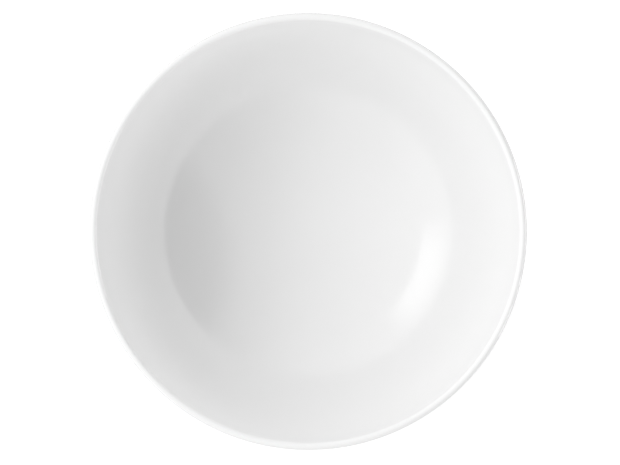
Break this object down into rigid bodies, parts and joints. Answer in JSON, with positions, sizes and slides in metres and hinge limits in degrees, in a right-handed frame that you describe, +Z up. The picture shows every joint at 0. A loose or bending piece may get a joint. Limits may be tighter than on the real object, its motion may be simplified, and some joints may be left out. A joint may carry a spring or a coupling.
{
  "type": "porcelain serving bowl",
  "caption": "Plain round serving bowl of white glazed porcelain, with a curved wall, a rounded lip and a bare-edged foot ring to stand on.",
  "frame": {"origin": "middle of the foot ring's standing face, on the bowl's axis", "axes": "+Z up along the bowl's axis, out of its mouth; the bowl is round, so +X and +Y are any two directions square to it"},
  "size_m": [0.23, 0.23, 0.0837],
  "materials": {
    "bare_porcelain": "unglazed, fired hard, under the glaze",
    "foot_porcelain": "unglazed, ground smooth and matt",
    "white_glaze": "clear glossy glaze over white porcelain",
    "base_glaze": "clear glossy glaze, pooled a little thicker inside the foot"
  },
  "bodies": {
    "root": {"porcelain_body": "bare_porcelain", "foot_ring": "foot_porcelain", "glaze_coat": "white_glaze", "base_glaze": "base_glaze"}
  },
  "joints": []
}
